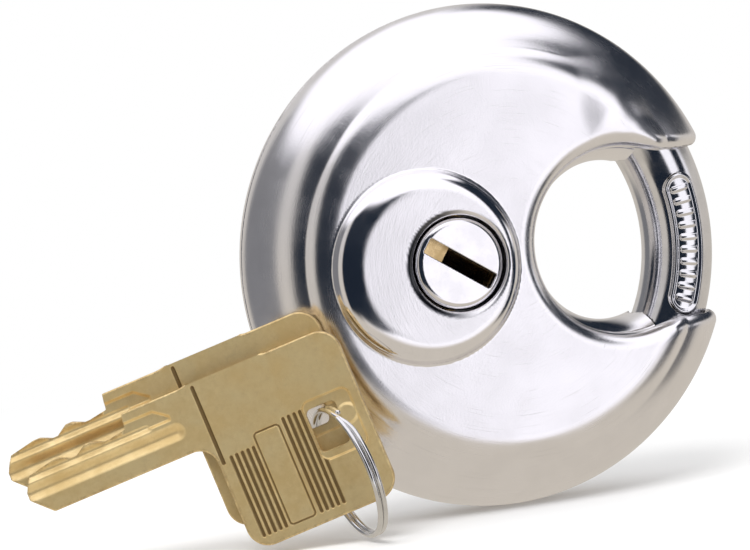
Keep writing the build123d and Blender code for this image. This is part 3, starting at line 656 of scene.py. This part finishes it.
def machined_brass():
    """Bright machined brass with fine turning lines."""
    material, tree, surface = new_metal("machined_brass")
    point, (x, y, z) = position(tree)
    lines = noise(tree, combine(tree, x * 0.8, y * 9.0, z * 0.8), 1.0, 2.0)
    cloud = noise(tree, point, 0.8, 4.0, 0.6)
    colour = mix_colour(tree, cloud.ramp(0.3, 0.7), (0.80, 0.60, 0.33), (0.66, 0.47, 0.22))
    finish_metal(tree, surface, colour, cloud.ramp(0.3, 0.7, 0.22, 0.34), lines, 0.01)
    return material


# ---------------------------------------------------------------- pieces
stainless = stainless_metal()
shackle_steel = polished_steel("shackle_steel", (0.84, 0.84, 0.86), 0.08, 0.15)
cap_steel = polished_steel("cap_steel", (0.90, 0.89, 0.91), 0.07, 0.12)
ring_steel = polished_steel("ring_steel", (0.80, 0.80, 0.80), 0.10, 0.18)
zinc = dull_metal("cast_zinc", (0.28, 0.28, 0.30), (0.42, 0.42, 0.44), 0.45, 0.65, 0.05)
plated = dull_metal("zinc_plated", (0.50, 0.50, 0.50), (0.66, 0.66, 0.68), 0.22, 0.38, 0.01)
hard_steel = dull_metal("hard_steel", (0.20, 0.20, 0.22), (0.34, 0.34, 0.36), 0.25, 0.40, 0.01)
spring_steel = dull_metal("spring_steel", (0.55, 0.55, 0.56), (0.70, 0.70, 0.72), 0.20, 0.32, 0.005)
brass = machined_brass()
worn_brass = key_brass()


def ride_for(piece, body, slot, *nodes):
    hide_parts(*nodes)
    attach(piece, body)


def make_shell(name, front):
    low = (-BODY_R, shell_low[1] if front else MID_Y, -BODY_R)
    high = (BODY_R, MID_Y if front else MID_Y + HALF, BODY_R)
    points, quads, normals = polygonise(shell_field(front), low, high, SHELL_STEP)
    x, y, z = points.T
    polish = np.zeros(len(points))
    collar = np.zeros(len(points))
    if front:
        side = smoothstep(HALF + 0.05, HALF + 0.3, MID_Y - y)
        polish = side * smoothstep(0.2, 0.9, np.hypot(x - BOSS_TOP_X, z) - BOSS_TOP_R)
        # The collar mask places painted shade on the rolled edge of the keyway hole, mostly on its left
        # side, where the edge stands above the shell face.
        hole, roll = keyway_hole(x, z)
        rolled = smoothstep(0.12, 0.3, hole) * (1 - smoothstep(-0.2, 0.05, hole - roll))
        collar = rolled * smoothstep(0.7, 1.0, roll) * (MID_Y - y > HALF)
    masks = {"polish": polish, "collar": collar}
    piece = make_piece(name, points, quads, stainless, normals, masks=masks)
    ride_for(piece, "lock_body", "stainless_shell", "front_shell" if front else "rear_shell")


def make_liner():
    points, quads, normals = polygonise(liner_field, liner_low, liner_high, LINER_STEP)
    masks = {"polish": np.full(len(points), 0.5)}
    piece = make_piece("liner_band", points, quads, stainless, normals, masks=masks)
    ride_for(piece, "lock_body", "stainless_shell", "opening_liner")


def make_cap():
    points, quads, normals = polygonise(cap_field, cap_low, cap_high, CAP_STEP)
    piece = make_piece("cap_face", points, quads, cap_steel, normals)
    ride_for(piece, "plug_unit", "polished_shackle", "plug_cap")


def bar_raise(length, side):
    """Height of the shackle's raised border and of the plain cross ribs inside it."""
    top, bottom = radians(PANEL_TOP) * BAR_PATH_R, radians(PANEL_BOTTOM) * BAR_PATH_R
    beyond = length - np.clip(length, bottom, top)
    stadium = np.hypot(beyond, side) - PANEL_WIDTH / 2
    border = np.abs(stadium + PANEL_BORDER / 2) - PANEL_BORDER / 2
    pitch = (top - bottom) / 9
    nearest = (length - bottom + pitch / 2) % pitch - pitch / 2
    rib = round_box(nearest, side, 0.32, 1.25, 0.3)
    rib = np.where((length > bottom - 0.5) & (length < top + 0.5), rib, 1.0)
    raised_border = PANEL_RAISE * (1 - smoothstep(-0.08, 0.14, border))
    return raised_border + RIB_RAISE * (1 - smoothstep(-0.12, 0.16, rib))


def make_shackle():
    fine = radians(1) * BAR_PATH_R
    panel = np.arange(PANEL_TOP + 6, PANEL_BOTTOM - 6, -0.14 * COARSE / fine)
    upper = np.linspace(BAR_TIP, PANEL_TOP + 6, int(18 / COARSE), endpoint=False)
    lower = np.linspace(PANEL_BOTTOM - 6, BAR_TAIL, int(120 / COARSE))
    angles = np.radians(np.concatenate([upper, panel, lower]))
    t = np.linspace(0, 2 * pi, int(150 / COARSE), endpoint=False)
    turn = t - 0.6 * np.sin(t)
    radius = BAR_R + bar_raise(angles[:, None] * BAR_PATH_R, BAR_R * np.sin(turn)[None, :])
    radius = np.where(np.cos(turn)[None, :] > 0, radius, BAR_R)
    end = np.minimum(np.arange(len(angles)), np.arange(len(angles))[::-1])
    angles = np.concatenate([angles[:1], angles, angles[-1:]])
    end = np.concatenate([[0], end, [0]])
    radius = np.concatenate([radius[:1] - 1.0, radius, radius[-1:] - 1.0])
    radius = radius - np.where(end == 0, 0.15, 0)[:, None]
    outward = np.stack([np.cos(angles), 0 * angles, np.sin(angles)], 1)
    centres = BAR_PATH_R * outward + np.array([0, MID_Y, 0])
    frontward = np.tile([0.0, -1.0, 0.0], (len(angles), 1))
    points, quads, caps = tube(centres, outward, frontward, radius, turn)
    arm_back = box_mm("drive_arm")[0][1]
    rivets_low, rivets_high = box_mm("arm_rivets")
    pad = (rivets_low + rivets_high) / 2
    near_pad = np.hypot(points[:, 0] - pad[0], points[:, 2] - pad[2]) < PAD_FLAT_R
    points[:, 1] = np.where(near_pad, np.minimum(points[:, 1], arm_back), points[:, 1])
    piece = make_piece("shackle_bar", points, quads, shackle_steel, caps=caps)
    ride_for(piece, "shackle_unit", "polished_shackle", "shackle")


def make_keys():
    swing = next(j for j in frame["joints"] if j["name"] == "front_key_swing")
    facing = np.array(swing["axis"], float)
    facing /= np.linalg.norm(facing)
    axes = key_axes(facing, KEY_DROP)
    hold = np.array(swing["pos_m"]) / MM
    front_place = hold - np.array(HOLD) @ axes
    rear_place = front_place + np.array(REAR_SHIFT) @ axes
    low = (-BOW_END, KEY_TOP, -KEY_THICK / 2)
    high = (TIP_X, -KEY_TOP, KEY_THICK / 2)
    points, quads, normals = polygonise(key_field, low, high, KEY_STEP)
    x, y, z = points.T
    outline = np.maximum(key_outline(x, y), -key_hole(x, y) - 0.2)
    off_recess = round_box(x - HOLE_X + 1.0, y - HOLE_Y, 3.4, 4.2, 1.3) > 0
    fine_lines = key_engraving(x, y) * off_recess * (x < BOW_END + 1)
    masks = {
        "edge": smoothstep(-0.55, 0.0, outline),
        "grime": smoothstep(0.03, 0.18, fine_lines),
    }
    for name, place in (("front_key", front_place), ("rear_key", rear_place)):
        node = "key_front" if name == "front_key" else "key_rear"
        placed = points @ axes + place
        moved = make_piece(name + "_blank", placed, quads, worn_brass, normals @ axes, masks=masks)
        ride_for(moved, name, "key_brass", node)
    return axes


def make_ring(axes):
    """The split ring: two turns of wire side by side, with a crossing and two free ends."""
    ring_low, ring_high = box_mm("key_ring")
    centre = (ring_low + ring_high) / 2
    across = axes[2] * cos(RING_SLANT) - axes[0] * sin(RING_SLANT)
    normal = np.cross(axes[1], across)
    normal /= np.linalg.norm(normal)
    turns = np.linspace(0, 4 * pi - 0.06, int(420 / COARSE))
    shift = (smoothstep(2 * pi - 0.5, 2 * pi + 0.1, turns) - 0.5) * 2 * (RING_WIRE_R + 0.01)
    spin = turns + radians(150)
    radial = np.cos(spin)[:, None] * axes[1] + np.sin(spin)[:, None] * across
    centres = centre + RING_R * radial + shift[:, None] * normal
    sides = np.tile(normal, (len(turns), 1))
    turn = np.linspace(0, 2 * pi, 20, endpoint=False)
    radius = np.full((len(turns), len(turn)), RING_WIRE_R)
    radius[0] *= 0.6
    radius[-1] *= 0.6
    points, quads, caps = tube(centres, sides, radial, radius, turn)
    piece = make_piece("split_ring", points, quads, ring_steel, caps=caps)
    ride_for(piece, "ring", "spring_steel", "key_ring")


make_shell("shell_front_skin", True)
make_shell("shell_rear_skin", False)
make_liner()
make_cap()
make_shackle()
make_ring(make_keys())

KEPT_NODES = {
    "case_front": zinc, "case_rear": zinc, "case_screws": plated, "anti_drill_plate": hard_steel,
    "cylinder_body": brass, "plug": brass, "plug_clip": spring_steel, "drive_crank": plated,
    "crank_pin": hard_steel, "crank_screws": plated, "drive_arm": plated, "arm_rivets": plated,
    "key_pin_1": brass, "key_pin_2": brass, "key_pin_3": brass, "key_pin_4": brass,
    "driver_pins": brass, "pin_springs": spring_steel, "chamber_plugs": brass,
}
for node, material in KEPT_NODES.items():
    mesh = frame["nodes"][node].data
    mesh.materials.clear()
    mesh.materials.append(material)


# ---------------------------------------------------------------- studio
def studio_colour(tree, direction):
    """What polished metal sees: bright front and top, dark panels left and right, warm grey below."""
    split = tree.nodes.new("ShaderNodeSeparateXYZ")
    plug(tree, split.inputs[0], direction)
    x, y, z = [Wire(tree, s) for s in split.outputs]
    azimuth = x.maths("ARCTAN2", y * -1.0) * degrees(1)
    height = z.maths("ARCSINE") * degrees(1)
    warm, pale, navy = (0.60, 0.55, 0.48), (1.16, 1.14, 1.20), (0.012, 0.018, 0.030)
    colour = mix_colour(tree, height.ramp(-30.0, 40.0), warm, (0.60, 0.58, 0.57))
    front = azimuth.band(-24.0, 75.0, 9.0) * height.ramp(-30.0, -14.0)
    colour = mix_colour(tree, front, colour, pale)
    dusk = azimuth.band(-150.0, -74.0, 6.0) * height.band(-20.0, 55.0, 10.0)
    colour = mix_colour(tree, dusk, colour, (0.20, 0.20, 0.21))
    colour = mix_colour(tree, height.ramp(34.0, 46.0), colour, pale)
    wedge = azimuth.ramp(18.0, -30.0)
    left = azimuth.band(-48.0, 12.0, 4.0) * height.band(wedge * -34.0 + 9.0, wedge * 26.0 + 14.0, 3.5)
    across, up = (azimuth + 16.0) / 29.0, height / 23.0
    oval = (across * across + up * up).ramp(1.15, 0.85)
    colour = mix_colour(tree, left.maths("MAXIMUM", oval), colour, navy)
    strip = azimuth.band(40.0, 64.0, 4.0) * height.band(-14.0, 41.0, 4.0)
    right = azimuth.band(44.0, 158.0, 5.0) * height.band(12.0, 48.0, 4.0)
    low = azimuth.band(50.0, 76.0, 5.0) * height.band(-30.0, 2.0, 5.0)
    strip = strip.maths("MAXIMUM", low)
    return mix_colour(tree, strip.maths("MAXIMUM", right), colour, navy)


def make_world():
    world = bpy.data.worlds.new("studio")
    world.use_nodes = True
    tree = world.node_tree
    tree.nodes.clear()
    coordinates = tree.nodes.new("ShaderNodeTexCoord")
    path = tree.nodes.new("ShaderNodeLightPath")
    seen = studio_colour(tree, Wire(tree, coordinates.outputs["Generated"]))
    colour = mix_colour(tree, Wire(tree, path.outputs["Is Glossy Ray"]), (1.0, 1.0, 1.0), seen)
    background = add_node(tree, "ShaderNodeBackground", {"Color": colour, "Strength": 1.0})
    output = tree.nodes.new("ShaderNodeOutputWorld")
    plug(tree, output.inputs["Surface"], background)
    bpy.context.scene.world = world


FLOOR_HALF = 3.0  # metres
FLOOR_FADE = (60.0, 260.0)  # millimetres from the body's axis


def make_floor():
    """A wide pale floor that fades into the white surroundings."""
    half, level = FLOOR_HALF, cad_box[0].z
    mesh = bpy.data.meshes.new("floor")
    corners = [(-half, -half, level), (half, -half, level), (half, half, level), (-half, half, level)]
    mesh.from_pydata(corners, [], [(0, 1, 2, 3)])
    floor = bpy.data.objects.new("floor", mesh)
    bpy.context.scene.collection.objects.link(floor)
    floor.visible_glossy = False
    material = bpy.data.materials.new("pale_floor")
    material.use_nodes = True
    tree = material.node_tree
    surface = tree.nodes["Principled BSDF"]
    point, (x, y, z) = position(tree)
    tone = noise(tree, point, 0.02, 3.0).ramp(0.3, 0.7, 0.90, 0.93)
    plug(tree, surface.inputs["Base Color"], combine(tree, tone, tone, tone))
    surface.inputs["Roughness"].default_value = 0.9
    white = add_node(tree, "ShaderNodeEmission", {"Color": (1.0, 1.0, 1.0, 1.0), "Strength": 1.0})
    far = (x * x + y * y).maths("SQRT").ramp(*FLOOR_FADE)
    mixed = tree.nodes.new("ShaderNodeMixShader")
    plug(tree, mixed.inputs[0], far)
    tree.links.new(surface.outputs[0], mixed.inputs[1])
    plug(tree, mixed.inputs[2], white)
    tree.links.new(mixed.outputs[0], tree.nodes["Material Output"].inputs["Surface"])
    mesh.materials.append(material)


def make_light(name, place, target, size, power):
    light = bpy.data.lights.new(name, "AREA")
    light.shape = "DISK"
    light.size = size
    light.energy = power
    lamp = bpy.data.objects.new(name, light)
    lamp.location = place
    lamp.rotation_euler = (Vector(target) - Vector(place)).to_track_quat("-Z", "Y").to_euler()
    bpy.context.scene.collection.objects.link(lamp)
    return lamp


def make_camera():
    camera = bpy.data.objects.new("camera", bpy.data.cameras.new("camera"))
    right = Vector((0.9458, -0.3036, -0.1153))
    up = Vector((0.1261, 0.0160, 0.9919))
    back = right.cross(up)
    middle = Vector((0, MID_Y * MM, 0))
    turned = Matrix((right, up, back)).transposed().to_4x4()
    camera.matrix_world = Matrix.Translation(middle + 0.45 * back) @ turned
    camera.data.lens = 154.9
    camera.data.sensor_width = 36.0
    camera.data.shift_x = -0.1485
    camera.data.shift_y = -0.027
    camera.data.clip_start = 0.01
    bpy.context.scene.collection.objects.link(camera)
    bpy.context.scene.camera = camera


make_world()
make_floor()
lamp = make_light("soft_top", (-0.25, -0.35, 0.6), (0, 0, 0), 0.5, 3.0)
lamp.visible_glossy = False
make_camera()
bpy.context.scene.view_settings.view_transform = "Standard"
